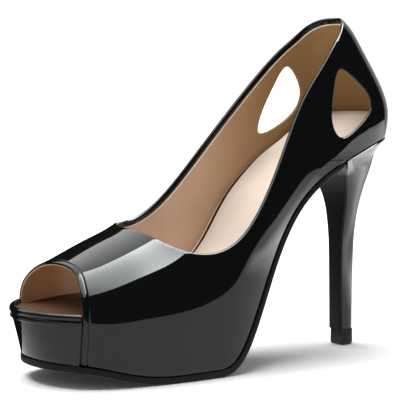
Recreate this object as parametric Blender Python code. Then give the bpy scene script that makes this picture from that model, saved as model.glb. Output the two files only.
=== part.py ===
"""Peep toe pump, left shoe: hollow upper, insole, toe lip, hidden platform, outsole, heel and top-lift.

The upper is a shell over the last, worked out from the wall lines below. A wall line starts at the
bottom edge, bulges at its widest height and leans in to the ridge, the line along the top of the foot.
Lengths are in millimetres here: x to the outer side, s forward from the back of the heel, z up.
In the scene +X is the outer side, -Y the toe and +Z up, in metres.
"""

import bpy
import bmesh
import numpy as np

MM = 0.001
BACK_Y = 103.97     # the back of the heel, so that the origin is the middle of the shoe's box
CENTRE_X = -0.23    # the last's middle line
WALL = 1.8          # upper and lining
GAP = 0.3           # clearance between pieces

# Wall lines of the last, one row each from the back of the heel to the toe
# name, s, outer and inner half width, bottom edge z, widest z, ridge s, ridge z, tuck under, lean
WALL_LINES = [
    ("back", 0, 0, 0, 107.5, 123.5, 48.0, 171.5, 2.5, 0.35),
    ("back turn", 2.5, 16.9, 16.4, 107.0, 123.5, 49.3, 171.3, 2.5, 0.35),
    ("heel side", 13.5, 27.5, 26.8, 105.4, 121.8, 51.6, 171.0, 2.5, 0.30),
    ("seat", 38, 30, 29, 96.3, 115.0, 59.0, 169.6, 2.5, 0.15),
    ("waist", 64, 29.2, 29, 79.2, 100.0, 73.3, 163.0, 2.5, 0.105),
    ("arch", 88, 34.4, 30, 48.0, 80.0, 91.5, 142.7, 2.5, 0.10),
    ("ball rear", 112, 38.8, 36.3, 6.0, 56.2, 111.0, 111.5, 3.0, 0.096),
    ("tread", 124, 39.2, 37.9, 3.2, 48.8, 123.0, 92.0, 3.0, 0.10),
    ("ball", 138, 38.8, 38.6, 3.0, 43.4, 135.3, 76.5, 3.0, 0.105),
    ("vamp", 162, 36.4, 38.2, 4.5, 39.3, 159.0, 64.3, 3.0, 0.096),
    ("toe seam", 190, 26.5, 31.8, 11.0, 35.0, 184.8, 54.9, 3.5, 0.12),
    ("toe turn", 204, 12.6, 21.5, 12.0, 38.0, 196.0, 53.5, 5.0, 0.10),
    ("tip", 209, -3.5, 3.5, 12.0, 39.0, 199.0, 53.0, 7.0, 0.10),
]
SEAM_ROW = 10       # the upper ends here, at the peep toe
SHOULDER = 0.62     # height of the shoulder between the widest line and the ridge
CROWN = 0.52        # how far in the top of the wall turns level
SQUARE_FROM = (112, 138)    # between these the top of the wall turns square to the ridge, so it has no crease

# Collar height above the floor by distance from the back: s, outer, inner
COLLAR = [
    (0, 166.0, 166.0),
    (17, 162.6, 160.7),
    (27, 158.6, 155.8),
    (38, 152.4, 149.6),
    (50, 142.2, 140.0),
    (64, 127.4, 126.6),
    (88, 90.6, 101.3),
    (112, 63.9, 74.4),
    (136, 57.6, 66.0),
]
THROAT_S = 151.8    # the throat's middle point on the ridge
THROAT_RUN = {1: 32.0, -1: 35.0}    # length of the throat's rounding on each side
THROAT_POWER = 2.6

# Cut-outs in side view, going round: name, outer s and z, inner s and z
CUT_OUT = [
    ("top", 41.0, 141.8, 36.5, 141.6),
    ("rear top", 31.0, 135.4, 28.5, 135.6),
    ("rear", 23.4, 124.5, 24.4, 125.4),
    ("rear low", 31.0, 113.9, 31.2, 114.7),
    ("low", 42.0, 107.5, 48.0, 106.8),
    ("front low", 48.4, 113.5, 52.2, 110.6),
    ("front", 48.9, 124.0, 48.9, 120.5),
    ("front top", 46.0, 135.5, 42.8, 133.0),
]
CUTTER_X = (12.0, 45.0)     # the cutter runs between these, across the wall

# Insole: s, height of its top, thickness
INSOLE = [
    (0, 118.0, 9.0),
    (12, 117.0, 9.0),
    (32, 108.8, 7.5),
    (49, 97.4, 5.0),
    (64, 85.6, 4.0),
    (81, 67.5, 3.8),
    (90, 54.5, 3.4),
    (100, 44.5, 3.0),
    (112, 38.0, 3.0),
    (135, 35.0, 3.0),
    (162, 34.0, 3.0),
    (190, 34.5, 3.0),
    (212, 35.0, 3.0),
]
PLATFORM_REAR_S = 88.0
STEP_IN = 1.5       # the platform narrows by this on each side to pass the upper's front edge

# Toe in front of the seam: half widths and reach past the seam, at the top and at the floor end
TOE_TOP = {"centre": -2.65, "half": 28.6, "reach": 15.5}
TOE_BOTTOM = {"centre": -2.65, "half": 25.4, "reach": 9.0}
TOE_POWER = 2.1
TOE_BOTTOM_Z = 11.0
TOE_BOTTOM_TIP_Z = 11.4
LIP_OVERHANG = 1.0      # how far the rolled lip stands out past the toe panel
LIP_WIDTH = 3.0
# Lip section, going round: share of the width, height above the insole's underside
LIP_SECTION = [(0.0, 0.0), (0.0, 2.1), (0.25, 3.4), (0.75, 3.4), (1.0, 2.5), (1.0, 0.9), (0.7, 0.0)]

# Outsole
SOLE_THICK = 3.0
WAIST_THICK = 2.2
FLAP_THICK = 1.4
SOLE_EDGE_OUT = 0.6     # how far the sole's edge stands out past the upper's bottom edge
SOLE_TOE_OUT = 0.3      # and past the toe panel
SOLE_BEVEL = 0.5
SEAT_FRONT_S = 37.0     # the heel's seat ends here, and the sole turns down its front
SEAT_OUT = 0.2          # how far the seat stands out past the upper's bottom edge
# The sole's last row before it turns down the heel, from the seat's front corner
TURN_DOWN = {"in": 1.0, "ahead": 0.8, "below": 1.2}

# Heel: one D-shaped section a row: front z, back z, half width, front s, back s
HEEL = [
    (92.0, 102.5, 20.5, 32.0, 1.8),
    (88.5, 97.5, 15.4, 28.5, 2.0),
    (84.0, 91.0, 12.0, 25.3, 2.9),
    (79.0, 83.5, 9.8, 23.3, 5.8),
    (72.0, 74.0, 7.8, 22.1, 9.0),
    (62.7, 63.5, 5.8, 22.0, 11.0),
    (52.0, 52.0, 4.6, 22.0, 12.0),
    (30.0, 30.0, 4.1, 22.0, 12.5),
    (8.0, 8.0, 4.3, 21.5, 12.7),
]
HEEL_TIP = [(7.7, 7.7, 4.5, 21.6, 12.5), (0.0, 0.0, 4.7, 21.4, 12.6)]
ROUND = 0.85        # exponent of the D's round back


def spline(knots, values):
    """Natural cubic spline through the values, as a function of one array."""
    knots = np.asarray(knots, float)
    values = np.asarray(values, float)
    count = len(knots)
    step = np.diff(knots)
    matrix = np.eye(count)
    right = np.zeros(values.shape)
    for i in range(1, count - 1):
        matrix[i, i - 1:i + 2] = step[i - 1], 2 * (step[i - 1] + step[i]), step[i]
        right[i] = 6 * ((values[i + 1] - values[i]) / step[i] - (values[i] - values[i - 1]) / step[i - 1])
    bend = np.linalg.solve(matrix, right.reshape(count, -1)).reshape(values.shape)

    def at(where):
        where = np.asarray(where, float)
        i = np.clip(np.searchsorted(knots, where) - 1, 0, count - 2)
        shape = where.shape + (1,) * (values.ndim - 1)
        h = step[i].reshape(shape)
        a = (knots[i + 1] - where).reshape(shape) / h
        b = (where - knots[i]).reshape(shape) / h
        return a * values[i] + b * values[i + 1] + ((a**3 - a) * bend[i] + (b**3 - b) * bend[i + 1]) * h**2 / 6
    return at


def wall_basis(v, count=6):
    """Weights of the wall line's control points at v, 0 at the bottom edge and 1 at the ridge: cubic B-spline."""
    v = np.clip(v, 0, 1 - 1e-9)[..., None]
    knots = np.concatenate([np.zeros(3), np.linspace(0, 1, count - 2), np.ones(3)])
    weight = ((v >= knots[:-1]) & (v < knots[1:])).astype(float)
    for degree in (1, 2, 3):
        left = np.maximum(knots[degree:-1] - knots[:-degree - 1], 1e-12)
        right = np.maximum(knots[degree + 1:] - knots[1:-degree], 1e-12)
        weight = (v - knots[:-degree - 1]) / left * weight[..., :-1] + (knots[degree + 1:] - v) / right * weight[..., 1:]
    return weight


def last_surface():
    """Control points of the wall lines, splined round the last, and the girth knots they sit at."""
    s, outer, inner, z_low, z_wide, ridge_s, ridge_z, tuck, lean = np.array([row[1:] for row in WALL_LINES], float).T
    half = (outer + inner) / 2
    centre = (outer - inner) / 2
    girth = np.concatenate([[0], np.cumsum(np.hypot(np.diff(s), np.diff(half)))])
    rise = ridge_z - z_wide
    square = np.interp(s, SQUARE_FROM, (0, 1))

    def side(sign):
        base = np.stack([sign * half + centre, s], 1)
        inward = np.stack([centre, ridge_s], 1) - base
        depth = np.linalg.norm(inward, axis=1)
        inward /= depth[:, None]
        points = []
        for into, z in (
            (tuck, z_low),
            (0.45 * tuck, z_low + 0.4 * (z_wide - z_low)),
            (np.full_like(s, -0.8), z_wide + 0.02 * rise),
            (lean * depth, z_wide + SHOULDER * rise),
            (CROWN * depth, ridge_z),
            (depth, ridge_z),
        ):
            points.append(np.column_stack([base + inward * into[:, None], z]))
        points[4][:, 1] += square * (ridge_s - points[4][:, 1])
        return np.stack(points, 1)

    outer_side = side(1)
    inner_side = side(-1)
    order = np.concatenate([outer_side[-3:-1], inner_side[::-1], outer_side[1:], inner_side[::-1][1:3]])
    whole = 2 * girth[-1]
    knots = np.concatenate([girth[-3:-1] - whole, -girth[::-1], girth[1:], whole - girth[::-1][1:3]])
    return spline(knots, order), girth, s


CONTROL, GIRTH, WALL_S = last_surface()
SEAM_T = GIRTH[SEAM_ROW]
THROAT_T = np.interp(THROAT_S, WALL_S, GIRTH)


def wall(t, v):
    """Outer face of the upper at girth t (0 at the back, outer side positive) and height fraction v."""
    t, v = np.broadcast_arrays(np.asarray(t, float), np.asarray(v, float))
    return np.einsum("...k,...kd->...d", wall_basis(v), CONTROL(t))


def wall_inside(t, v, depth):
    """The same face moved inward along its normal."""
    t, v = np.broadcast_arrays(np.asarray(t, float), np.asarray(v, float))
    low = np.clip(v - 0.004, 0, 1)
    high = np.clip(v + 0.004, 0, 1)
    along = wall(t + 0.2, v) - wall(t - 0.2, v)
    up = wall(t, high) - wall(t, low)
    normal = np.cross(along, up)
    normal /= np.linalg.norm(normal, axis=-1, keepdims=True)
    return wall(t, v) - depth * normal


def girth_at(s):
    return np.interp(s, WALL_S, GIRTH)


def height_fraction(t, z, depth=0.0):
    """The v at which the wall, or its offset, reaches height z, at each girth t."""
    steps = np.linspace(0, 0.9, 61)
    found = []
    for one_t, one_z in zip(t, z):
        heights = (wall_inside(one_t, steps, depth) if depth else wall(one_t, steps))[:, 2]
        top = int(np.argmax(heights))
        found.append(np.interp(one_z, heights[:top + 1], steps[:top + 1]))
    return np.array(found)


def collar_fraction(t):
    """v of the topline at each girth: the collar heights, rounded up to the ridge at the throat."""
    t = np.asarray(t, float)
    table = np.array(COLLAR, float)
    side = np.where(t >= 0, 1, -1)
    reach = np.minimum(np.abs(t), girth_at(table[-1, 0]))
    knots = girth_at(table[:, 0])
    round_the_back = spline(np.concatenate([-knots[:0:-1], knots]), np.concatenate([table[:0:-1, 2], table[:, 1]]))
    height = round_the_back(side * reach)
    run = np.where(side > 0, THROAT_RUN[1], THROAT_RUN[-1])
    back = np.clip((THROAT_T - np.abs(t)) / run, 0, 1)
    rounding = (1 - (1 - back) ** THROAT_POWER) ** (1 / THROAT_POWER)
    return 1 - (1 - height_fraction(t, height)) * rounding


def make_object(name, points, faces, colour, roughness, sheet=False):
    """One solid, or the sheet that a modifier thickens, from points in millimetres and faces."""
    points = np.asarray(points, float)
    world = np.column_stack([points[:, 0] + CENTRE_X, BACK_Y - points[:, 1], points[:, 2]]) * MM
    mesh = bpy.data.meshes.new(name)
    mesh.from_pydata(world.tolist(), [], faces)
    shape = bmesh.new()
    shape.from_mesh(mesh)
    if sheet:
        bmesh.ops.remove_doubles(shape, verts=shape.verts, dist=2e-6)
    else:
        bmesh.ops.recalc_face_normals(shape, faces=shape.faces)
        if shape.calc_volume(signed=True) < 0:
            bmesh.ops.reverse_faces(shape, faces=shape.faces)
    shape.to_mesh(mesh)
    shape.free()
    material = bpy.data.materials.new(name)
    material.use_nodes = True
    shader = material.node_tree.nodes["Principled BSDF"]
    shader.inputs["Base Color"].default_value = (*colour, 1.0)
    shader.inputs["Roughness"].default_value = roughness
    mesh.materials.append(material)
    made = bpy.data.objects.new(name, mesh)
    bpy.context.scene.collection.objects.link(made)
    mesh.shade_smooth()
    mesh.set_sharp_from_angle(angle=np.radians(40))
    return made


def stacked_rings(rings, apex=False):
    """Points and faces of a closed solid between rings of points; each end is capped side to side.

    A ring starts at its apex, or else at a corner of its straight side.
    """
    count = len(rings[0])
    points = np.concatenate(rings)
    faces = []
    for level in range(len(rings) - 1):
        for i in range(count):
            a = level * count + i
            b = level * count + (i + 1) % count
            faces.append((a, b, b + count, a + count))
    for first in (0, (len(rings) - 1) * count):
        for i in range(count // 2 if apex else (count - 1) // 2):
            j = (count if apex else count - 1) - i
            corners = [first + i, first + i + 1, first + j - 1, first + j % count]
            faces.append(tuple(dict.fromkeys(corners)))
    return points, faces


def build_upper():
    """Shell over the last from one toe seam round the back to the other, open at the collar and at the toe."""
    behind = np.linspace(0, girth_at(112), 25)
    throat = THROAT_T - (THROAT_T - behind[-1]) * (1 - np.sin(np.linspace(0, np.pi / 2, 13)))
    front = np.linspace(THROAT_T, SEAM_T, 11)
    half = np.concatenate([behind, throat[1:], front[1:]])
    girths = np.concatenate([-half[:0:-1], half])
    rows = np.linspace(0, 1, 17)
    top = np.where(np.abs(girths) < THROAT_T, collar_fraction(girths), 1.0)
    grid = wall(girths[:, None], top[:, None] * rows)
    count = len(rows)
    faces = []
    for i in range(len(girths) - 1):
        for j in range(count - 1):
            a = i * count + j
            faces.append((a, a + 1, a + count + 1, a + count))
    upper = make_object("upper", grid.reshape(-1, 3), faces, (0.01, 0.01, 0.01), 0.12, sheet=True)
    shell = upper.modifiers.new("wall", "SOLIDIFY")
    shell.thickness = WALL * MM
    shell.offset = -1
    shell.use_even_offset = True
    for side, name in ((1, "outer"), (-1, "inner")):
        cut = upper.modifiers.new(name + " cut-out", "BOOLEAN")
        cut.operation = "DIFFERENCE"
        cut.object = build_cutter(side, name)
    return upper


def build_cutter(side, name):
    """Prism across the shoe with the cut-out's outline."""
    first = 1 if side > 0 else 3
    corners = np.array([row[first:first + 2] for row in CUT_OUT], float)
    repeated = np.concatenate([corners, corners, corners])
    turn = len(corners) + np.linspace(0, len(corners), 33)[:-1]
    outline = spline(np.arange(len(repeated)), repeated)(turn)
    near = np.column_stack([np.full(32, side * CUTTER_X[0]), outline])
    far = np.column_stack([np.full(32, side * CUTTER_X[1]), outline])
    points = np.concatenate([near, far])
    faces = [(i, (i + 1) % 32, 32 + (i + 1) % 32, 32 + i) for i in range(32)]
    faces += [tuple(range(32)), tuple(range(32, 64))]
    cutter = make_object(name + "_cutter", points, faces, (1, 0, 0), 0.5)
    cutter.hide_render = True
    cutter.display_type = "WIRE"
    return cutter


def insole_top(s):
    table = np.array(INSOLE, float)
    return spline(table[:, 0], table[:, 1])(s)


def insole_bottom(s):
    table = np.array(INSOLE, float)
    return insole_top(s) - np.interp(s, table[:, 0], table[:, 2])


def inside_ring(girths, height):
    """Points of the upper's inside, a clearance in, at the height that the function gives for each s."""
    depth = WALL + GAP
    s = wall_inside(girths, 0.15, depth)[:, 1]
    for _ in range(3):
        v = height_fraction(girths, height(s), depth)
        ring = wall_inside(girths, v, depth)
        s = ring[:, 1]
    return ring


def toe_outline(shape, grow, turns):
    """Toe in front of the seam, from the inner side round to the outer side, as x and s."""
    half = shape["half"] + grow
    reach = shape["reach"] + grow
    x = shape["centre"] + half * turns
    s = WALL_S[SEAM_ROW] + GAP + reach * (1 - np.abs(turns) ** TOE_POWER)
    return x, s


TURNS = np.sin(np.linspace(-1, 1, 19) * np.pi / 2)


def toe_part(grow, share, height):
    """Ring points of the toe: share runs from the bottom outline (0) to the top outline (1)."""
    shape = {key: TOE_BOTTOM[key] + share * (TOE_TOP[key] - TOE_BOTTOM[key]) for key in TOE_TOP}
    x, s = toe_outline(shape, grow, TURNS)
    return np.column_stack([x, s, height(s)])


def build_insole():
    """Board and sock from the heel seat to the toe; its edge follows the upper's inside."""
    half = np.linspace(0, SEAM_T - 1.0, 41)
    inner_side = -half[1:]
    outer_side = half[::-1][:-1]
    rings = []
    for height in (insole_bottom, lambda s: (insole_bottom(s) + insole_top(s)) / 2, insole_top):
        back_to_seam = inside_ring(np.concatenate([[0.0], inner_side]), height)
        toe = toe_part(LIP_OVERHANG - LIP_WIDTH - GAP, 1.0, height)
        seam_to_back = inside_ring(outer_side, height)
        rings.append(np.concatenate([back_to_seam, toe, seam_to_back]))
    points, faces = stacked_rings(rings, apex=True)
    return make_object("insole", points, faces, (0.75, 0.62, 0.54), 0.6)


def build_platform():
    """Hidden wedge under the forefoot, with the covered toe panel in front of the seam."""
    half = np.linspace(girth_at(PLATFORM_REAR_S), SEAM_T - 1.0, 21)
    rings = []
    for share in np.linspace(0, 1, 5):
        side_rings = []
        for girths in (-half, half[::-1]):
            high = inside_ring(girths, lambda s: insole_bottom(s) - GAP)
            v_high = height_fraction(girths, high[:, 2], WALL + GAP)
            side_rings.append(wall_inside(girths, v_high * share, WALL + GAP))
        toe = toe_part(-GAP, share, lambda s: toe_height(s, share))
        step_in = np.array([[side_rings[0][-1, 0] + STEP_IN, toe[0, 1], toe[0, 2]]])
        step_out = np.array([[side_rings[1][0, 0] - STEP_IN, toe[-1, 1], toe[-1, 2]]])
        rings.append(np.concatenate([side_rings[0], step_in, toe, step_out, side_rings[1]]))
    points, faces = stacked_rings(rings)
    return make_object("platform", points, faces, (0.02, 0.02, 0.02), 0.15)


def toe_height(s, share):
    """Height in the toe block between its bottom (share 0) and the underside of the insole (1)."""
    rise = (s - WALL_S[SEAM_ROW]) / TOE_BOTTOM["reach"]
    low = TOE_BOTTOM_Z + (TOE_BOTTOM_TIP_Z - TOE_BOTTOM_Z) * np.clip(rise, 0, 1)
    high = insole_bottom(s) - GAP
    return low + share * (high - low)


def build_toe_lip():
    """Rolled edge round the front of the insole, standing a little proud of the toe panel."""
    turns = np.sin(np.linspace(-1, 1, 25) * np.pi / 2)
    points = []
    for across, up in LIP_SECTION:
        x, s = toe_outline(TOE_TOP, LIP_OVERHANG - LIP_WIDTH * (1 - across), turns)
        points.append(np.column_stack([x, s, insole_bottom(s) + up]))
    grid = np.stack(points, 1)
    count = len(LIP_SECTION)
    faces = []
    for i in range(len(turns) - 1):
        for j in range(count):
            k = (j + 1) % count
            faces.append((i * count + j, (i + 1) * count + j, (i + 1) * count + k, i * count + k))
    faces.append(tuple(range(count)))
    faces.append(tuple(range((len(turns) - 1) * count, len(turns) * count)))
    return make_object("toe_lip", grid.reshape(-1, 3), faces, (0.01, 0.01, 0.01), 0.15)


def sole_stations():
    """Top face of the outsole as rows (inner x, outer x, s, z, thickness), toe to waist and down the breast."""
    rows = []
    for turn in np.sin(np.linspace(0, 1, 8)[1:] * np.pi / 2):
        half = TOE_BOTTOM["half"] + SOLE_TOE_OUT
        s = WALL_S[SEAM_ROW] + GAP + (TOE_BOTTOM["reach"] + SOLE_TOE_OUT) * (1 - turn ** TOE_POWER)
        z = toe_height(s, 0.0) - GAP
        rows.append((TOE_BOTTOM["centre"] - half * turn, TOE_BOTTOM["centre"] + half * turn, s, z, SOLE_THICK))
    for s in np.concatenate([np.arange(184, 112, -6.0), np.arange(112, 82, -3.0), np.arange(82, 40, -5.0)]):
        t = girth_at(s)
        outer = wall(t, 0.0)
        inner = wall(-t, 0.0)
        thick = np.interp(s, (60, 110), (WAIST_THICK, SOLE_THICK))
        middle = (outer[1] + inner[1]) / 2
        rows.append((inner[0] - SOLE_EDGE_OUT, outer[0] + SOLE_EDGE_OUT, middle, outer[2] - GAP, thick))
    corner = wall(girth_at(SEAT_FRONT_S), 0.0)
    half = corner[0] - TURN_DOWN["in"]
    rows.append((-half, half, corner[1] + TURN_DOWN["ahead"], corner[2] - TURN_DOWN["below"], WAIST_THICK))
    for front_z, _, half, front_s, _ in HEEL:
        rows.append((-half, half, front_s + GAP, front_z, FLAP_THICK))
    return np.array(rows)


def build_outsole():
    """Thin sole: flat under the ball, sprung at the toe, up the waist and down the front of the heel."""
    rows = sole_stations()
    inner_x, outer_x, s, z, thick = rows.T
    path = np.column_stack([s, z])
    tangent = np.gradient(path, axis=0)
    tangent /= np.linalg.norm(tangent, axis=1, keepdims=True)
    away = np.column_stack([tangent[:, 1], -tangent[:, 0]])
    away *= np.sign(away[len(away) // 3, 1]) * -1
    under = path + away * thick[:, None]
    under[:, 1] = np.maximum(under[:, 1], 0.0)
    narrow = np.minimum(SOLE_BEVEL, (outer_x - inner_x) / 4)
    corners = np.stack([
        np.column_stack([outer_x, s, z]),
        np.column_stack([outer_x, under * 0.75 + path * 0.25]),
        np.column_stack([outer_x - narrow, under]),
        np.column_stack([inner_x + narrow, under]),
        np.column_stack([inner_x, under * 0.75 + path * 0.25]),
        np.column_stack([inner_x, s, z]),
    ], 1)
    count = corners.shape[1]
    faces = []
    for i in range(len(corners) - 1):
        for j in range(count):
            k = (j + 1) % count
            faces.append((i * count + j, (i + 1) * count + j, (i + 1) * count + k, i * count + k))
    faces.append(tuple(range(count)))
    faces.append(tuple(range((len(corners) - 1) * count, len(corners) * count)))
    return make_object("outsole", corners.reshape(-1, 3), faces, (0.03, 0.03, 0.03), 0.5)


def heel_section(front_z, back_z, half, front_s, back_s, turns):
    """D-shaped section, straight across the front and round at the back."""
    x = half * np.sign(np.cos(turns)) * np.abs(np.cos(turns)) ** ROUND
    back = np.abs(np.sin(turns)) ** ROUND
    return np.column_stack([x, front_s + (back_s - front_s) * back, front_z + (back_z - front_z) * back])


def build_heel():
    """Covered heel: its seat follows the upper's bottom edge, then D-shaped sections down to the top-lift."""
    turns = np.linspace(0, np.pi, 29)
    seat_t = girth_at(SEAT_FRONT_S) * np.linspace(1, -1, 29)
    seat = wall(seat_t, 0.0)
    out = seat - wall_inside(seat_t, 0.3, 4.0)
    out[:, 2] = 0
    out /= np.linalg.norm(out, axis=1, keepdims=True)
    seat = seat + out * SEAT_OUT
    seat[:, 2] -= GAP
    rings = [seat]
    for row in HEEL:
        rings.append(heel_section(*row, turns))
    points, faces = stacked_rings(rings)
    return make_object("heel", points, faces, (0.01, 0.01, 0.01), 0.12)


def build_heel_tip():
    """Top-lift under the heel."""
    turns = np.linspace(0, np.pi, 21)
    rings = [heel_section(*row, turns) for row in HEEL_TIP]
    points, faces = stacked_rings(rings)
    return make_object("heel_tip", points, faces, (0.02, 0.02, 0.02), 0.4)


for old in list(bpy.data.objects):
    bpy.data.objects.remove(old, do_unlink=True)
build_upper()
build_insole()
build_platform()
build_toe_lip()
build_outsole()
build_heel()
build_heel_tip()
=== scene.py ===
import bpy
import bmesh
import numpy as np
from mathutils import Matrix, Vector


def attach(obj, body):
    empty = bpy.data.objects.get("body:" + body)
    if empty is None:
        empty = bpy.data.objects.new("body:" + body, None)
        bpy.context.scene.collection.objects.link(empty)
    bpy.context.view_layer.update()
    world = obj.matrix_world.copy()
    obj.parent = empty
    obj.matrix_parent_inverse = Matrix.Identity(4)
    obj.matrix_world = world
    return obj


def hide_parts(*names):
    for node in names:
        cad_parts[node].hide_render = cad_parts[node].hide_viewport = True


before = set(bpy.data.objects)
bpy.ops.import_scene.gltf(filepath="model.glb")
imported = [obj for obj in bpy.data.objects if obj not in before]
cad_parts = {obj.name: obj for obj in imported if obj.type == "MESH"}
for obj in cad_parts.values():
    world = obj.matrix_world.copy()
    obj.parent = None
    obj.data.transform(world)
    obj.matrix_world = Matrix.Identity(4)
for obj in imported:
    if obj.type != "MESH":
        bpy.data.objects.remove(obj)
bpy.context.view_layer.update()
scene = bpy.context.scene

# The camera stands at the toe's outer side, a little above the floor, as in the photograph. Its long lens
# gives the same perspective, and it is aimed at the middle of the shoe.
LOOK_AT = Vector((-0.00023, 0.00397, 0.085))
CAMERA_AZIMUTH = np.radians(54.2)
CAMERA_RISE = np.radians(5.76)
CAMERA_DISTANCE = 0.9329
AIM_LEFT = 0.0058
AIM_DOWN = 0.0063
LENS = 174.0
SENSOR = 36.0
toward_camera = Vector((
    np.sin(CAMERA_AZIMUTH) * np.cos(CAMERA_RISE),
    -np.cos(CAMERA_AZIMUTH) * np.cos(CAMERA_RISE),
    np.sin(CAMERA_RISE),
))
across = Vector((np.cos(CAMERA_AZIMUTH), np.sin(CAMERA_AZIMUTH), 0.0))
aim = LOOK_AT - AIM_LEFT * across - AIM_DOWN * toward_camera.cross(across)
camera = bpy.data.objects.new("camera", bpy.data.cameras.new("camera"))
camera.data.lens = LENS
camera.data.sensor_width = SENSOR
camera.data.clip_start = 0.05
camera.location = LOOK_AT + CAMERA_DISTANCE * toward_camera
camera.rotation_mode = "QUATERNION"
camera.rotation_quaternion = (aim - camera.location).to_track_quat("-Z", "Y")
scene.collection.objects.link(camera)
scene.camera = camera
scene.view_settings.view_transform = "Standard"

# The studio is a white sweep, lit softly from all round and by one large soft lamp above. Where the gloss
# looks it is a dark room, with a white table and two shelves whose edges show in the patent, and panels.
DOME_LIGHT = 0.42
BACKDROP = 1.1
GLOSS_ROOM = 0.008
LAMP_POWER = 4.4
LAMP_SPREAD = np.radians(50)
LAMP_TURN = (np.radians(6), np.radians(-9), 0)
world = bpy.data.worlds.new("studio")
scene.world = world
world.use_nodes = True
nodes = world.node_tree.nodes
links = world.node_tree.links
nodes.clear()
rays = nodes.new("ShaderNodeLightPath")


def room_tone(level):
    """Plain background of one brightness."""
    tone = nodes.new("ShaderNodeBackground")
    tone.inputs["Color"].default_value = (1, 1, 1, 1)
    tone.inputs["Strength"].default_value = level
    return tone.outputs["Background"]


def choose(rule, otherwise, then):
    """The second background for the rays that the rule names, the first one for all others."""
    made = nodes.new("ShaderNodeMixShader")
    links.new(rays.outputs[rule], made.inputs["Fac"])
    links.new(otherwise, made.inputs[1])
    links.new(then, made.inputs[2])
    return made.outputs["Shader"]


seen = choose("Is Camera Ray", room_tone(DOME_LIGHT), room_tone(BACKDROP))
seen = choose("Is Glossy Ray", seen, room_tone(GLOSS_ROOM))
studio_out = nodes.new("ShaderNodeOutputWorld")
links.new(seen, studio_out.inputs["Surface"])
lamp = bpy.data.objects.new("lamp above", bpy.data.lights.new("lamp above", "SUN"))
lamp.data.energy = LAMP_POWER
lamp.data.angle = LAMP_SPREAD
lamp.rotation_euler = LAMP_TURN
lamp.visible_glossy = False
scene.collection.objects.link(lamp)
pale = bpy.data.materials.new("pale floor")
pale.use_nodes = True
paint = pale.node_tree.nodes["Principled BSDF"]
paint.inputs["Base Color"].default_value = (0.95, 0.95, 0.95, 1)
paint.inputs["Roughness"].default_value = 0.9
paint.inputs["Specular IOR Level"].default_value = 0.0


def flat_stage(name, corners, material, faces=None):
    """Flat shape that isn't part of the shoe: one face round the corners, or the faces given."""
    mesh = bpy.data.meshes.new(name)
    mesh.from_pydata(corners, [], faces or [tuple(range(len(corners)))])
    mesh.materials.append(material)
    made = bpy.data.objects.new(name, mesh)
    scene.collection.objects.link(made)
    return made


FLOOR_REACH = 8.0
FLOOR_Z = -0.0002
floor = flat_stage("floor", [
    (-FLOOR_REACH, -FLOOR_REACH, FLOOR_Z),
    (FLOOR_REACH, -FLOOR_REACH, FLOOR_Z),
    (FLOOR_REACH, FLOOR_REACH, FLOOR_Z),
    (-FLOOR_REACH, FLOOR_REACH, FLOOR_Z),
], pale)
floor.visible_glossy = False


def light_panel(name, corners, strengths, faces=None):
    """Panel of light that only the gloss sees, and only from its front.

    Its strength runs evenly between the values at its corners.
    """
    glow = bpy.data.materials.new(name)
    glow.use_nodes = True
    tree = glow.node_tree
    tree.nodes.clear()
    level = tree.nodes.new("ShaderNodeAttribute")
    level.attribute_name = "level"
    emit = tree.nodes.new("ShaderNodeEmission")
    tree.links.new(level.outputs["Fac"], emit.inputs["Strength"])
    out = tree.nodes.new("ShaderNodeOutputMaterial")
    from_behind = tree.nodes.new("ShaderNodeNewGeometry")
    clear = tree.nodes.new("ShaderNodeBsdfTransparent")
    one_sided = tree.nodes.new("ShaderNodeMixShader")
    tree.links.new(from_behind.outputs["Backfacing"], one_sided.inputs["Fac"])
    tree.links.new(emit.outputs["Emission"], one_sided.inputs[1])
    tree.links.new(clear.outputs["BSDF"], one_sided.inputs[2])
    tree.links.new(one_sided.outputs["Shader"], out.inputs["Surface"])
    made = flat_stage(name, corners, glow, faces)
    made.data.attributes.new("level", "FLOAT", "POINT").data.foreach_set("value", strengths)
    made.visible_camera = False
    made.visible_diffuse = False
    made.visible_shadow = False


PANEL_Z = 1.2
OVERHEAD = [
    # y, left x, right x, light at the left, light at the right
    (-1.3, -0.52, 1.02, 2.0, 2.0),
    (-0.45, -0.52, 0.983, 5.5, 5.5),
    (-0.1, -0.52, 0.968, 10.0, 10.5),
    (0.3, -0.52, 0.95, 20.0, 22.0),
    (1.0, -0.52, 0.92, 24.0, 36.0),
]
left_edge = [(x, y, PANEL_Z) for y, x, _, _, _ in OVERHEAD]
right_edge = [(x, y, PANEL_Z) for y, _, x, _, _ in OVERHEAD]
last_corner = 2 * len(OVERHEAD) - 1
light_panel(
    "overhead",
    left_edge + right_edge[::-1],
    [row[3] for row in OVERHEAD] + [row[4] for row in OVERHEAD[::-1]],
    [(k, k + 1, last_corner - k - 1, last_corner - k) for k in range(len(OVERHEAD) - 1)],
)
light_panel(
    "far side",
    [(-2.1, -1.3, PANEL_Z), (-2.1, 1.4, PANEL_Z), (-0.53, 1.4, PANEL_Z), (-0.53, -1.3, PANEL_Z)],
    [2.0, 2.0, 2.0, 2.0],
)
light_panel(
    "behind",
    [(-2.7, 2.25, -0.6), (-0.3, 3.5, -0.6), (-0.3, 3.5, 3.0), (-2.7, 2.25, 3.0)],
    [1.2, 0.5, 0.5, 1.0],
)

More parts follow.
